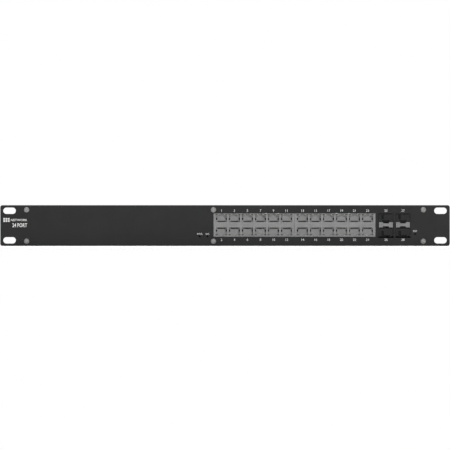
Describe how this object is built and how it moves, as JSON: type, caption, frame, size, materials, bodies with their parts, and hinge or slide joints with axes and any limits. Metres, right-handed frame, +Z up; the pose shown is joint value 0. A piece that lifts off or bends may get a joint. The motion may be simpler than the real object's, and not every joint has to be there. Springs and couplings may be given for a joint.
{
  "type": "rackmount network switch",
  "caption": "Flat one-unit rack switch with slotted ears, stacked copper network ports, optical module bays with dust plugs, rear fans and a mains inlet.",
  "frame": {"origin": "centre of the four rack slots, in the rear face of the front panel, which is the plane that seats on the rack rails", "axes": "+X to the right as seen from the front, +Y towards the rear, +Z up"},
  "size_m": [0.4826, 0.2467, 0.0436],
  "materials": {
    "panel_paint": "fine-textured charcoal powder coat with white printed legends",
    "casing_paint": "fine-textured charcoal powder coat",
    "zinc_screw": "nickel-plated steel",
    "black_screw": "black-oxide steel",
    "green_laminate": "solder-masked glass-epoxy laminate",
    "tan_laminate": "phenolic laminate",
    "post_steel": "zinc-plated steel",
    "tin_shield": "tin-plated brass sheet",
    "port_plastic": "grey moulded nylon",
    "gold": "gold-plated phosphor bronze",
    "amber_light": "clear amber-tinted light pipe, unlit",
    "green_light": "clear green-tinted light pipe, unlit",
    "cage_steel": "nickel-plated sheet",
    "cage_shell": "tarnished nickel-plated sheet",
    "gasket_foam": "conductive foam",
    "black_plastic": "black moulded plastic",
    "plug_rubber": "charcoal moulded plastic",
    "led_plastic": "tinted epoxy",
    "plunger_plastic": "black moulded plastic",
    "chip_epoxy": "black moulding compound",
    "sink_aluminium": "extruded, clear anodised",
    "ferrite": "dark ferrite",
    "coil_tape": "yellow polyester tape",
    "capacitor_sleeve": "dark blue shrink sleeve over aluminium can",
    "choke_wire": "enamelled copper winding",
    "film_capacitor": "yellow moulded box",
    "fuse_glass": "glass tube with plated caps",
    "cream_nylon": "natural nylon",
    "insulator_film": "polyester film",
    "red_wire": "PVC insulation",
    "mains_wire": "PVC insulation",
    "black_wire": "PVC insulation",
    "plated_brass": "nickel-plated brass",
    "fan_plastic": "glass-filled polyester"
  },
  "bodies": {
    "chassis": {"front_panel": "panel_paint", "chassis_base": "casing_paint", "top_cover": "casing_paint", "front_panel_screws": "zinc_screw", "cover_side_screws": "black_screw", "cover_rear_screws": "black_screw", "main_board": "green_laminate", "psu_board": "tan_laminate", "board_posts": "post_steel", "board_screws": "zinc_screw", "port_shield_left": "tin_shield", "port_shield_right": "tin_shield", "port_housing_left": "port_plastic", "port_housing_right": "port_plastic", "port_contacts_left": "gold", "port_contacts_right": "gold", "amber_light_pipes": "amber_light", "green_light_pipes": "green_light", "sfp_cage_left": "cage_shell", "sfp_cage_right": "cage_shell", "sfp_gaskets": "gasket_foam", "sfp_dividers": "cage_steel", "sfp_connectors": "black_plastic", "status_leds": "led_plastic", "reset_switch": "black_plastic", "switch_chip": "chip_epoxy", "switch_heatsink": "sink_aluminium", "phy_chips": "chip_epoxy", "phy_heatsinks": "sink_aluminium", "memory_chips": "chip_epoxy", "power_inductors": "ferrite", "board_capacitors": "capacitor_sleeve", "board_connectors": "cream_nylon", "psu_transformer_core": "ferrite", "psu_transformer_coil": "coil_tape", "psu_bulk_capacitors": "capacitor_sleeve", "psu_heatsinks": "sink_aluminium", "psu_choke": "choke_wire", "psu_filter_capacitors": "film_capacitor", "psu_fuse": "fuse_glass", "psu_connectors": "cream_nylon", "psu_insulator": "insulator_film", "dc_cable": "red_wire", "mains_cable": "mains_wire", "fan_cables": "black_wire", "ac_inlet": "black_plastic", "inlet_pins": "plated_brass", "inlet_screws": "black_screw", "ground_stud": "plated_brass", "ground_nut": "zinc_screw", "fan_left_frame": "fan_plastic", "fan_right_frame": "fan_plastic", "fan_screws": "black_screw"},
    "dust_plug_25": {"dust_plug_25": "plug_rubber"},
    "dust_plug_26": {"dust_plug_26": "plug_rubber"},
    "dust_plug_27": {"dust_plug_27": "plug_rubber"},
    "dust_plug_28": {"dust_plug_28": "plug_rubber"},
    "reset_plunger": {"reset_plunger": "plunger_plastic"},
    "fan_left_impeller": {"fan_left_impeller": "fan_plastic"},
    "fan_right_impeller": {"fan_right_impeller": "fan_plastic"}
  },
  "joints": [
    {"name": "dust_plug_25_slide", "type": "slide", "parent": "chassis", "child": "dust_plug_25", "axis": [0, -1, 0], "range_m": [0, 0.025]},
    {"name": "dust_plug_26_slide", "type": "slide", "parent": "chassis", "child": "dust_plug_26", "axis": [0, -1, 0], "range_m": [0, 0.025]},
    {"name": "dust_plug_27_slide", "type": "slide", "parent": "chassis", "child": "dust_plug_27", "axis": [0, -1, 0], "range_m": [0, 0.025]},
    {"name": "dust_plug_28_slide", "type": "slide", "parent": "chassis", "child": "dust_plug_28", "axis": [0, -1, 0], "range_m": [0, 0.025]},
    {"name": "reset_press", "type": "slide", "parent": "chassis", "child": "reset_plunger", "axis": [0, 1, 0], "range_m": [0, 0.00025], "stiffness_N_per_m": 800},
    {"name": "fan_left_spin", "type": "hinge", "parent": "chassis", "child": "fan_left_impeller", "pos_m": [0.056, 0.219, 0], "axis": [0, 1, 0], "continuous": true},
    {"name": "fan_right_spin", "type": "hinge", "parent": "chassis", "child": "fan_right_impeller", "pos_m": [0.134, 0.219, 0], "axis": [0, 1, 0], "continuous": true}
  ]
}
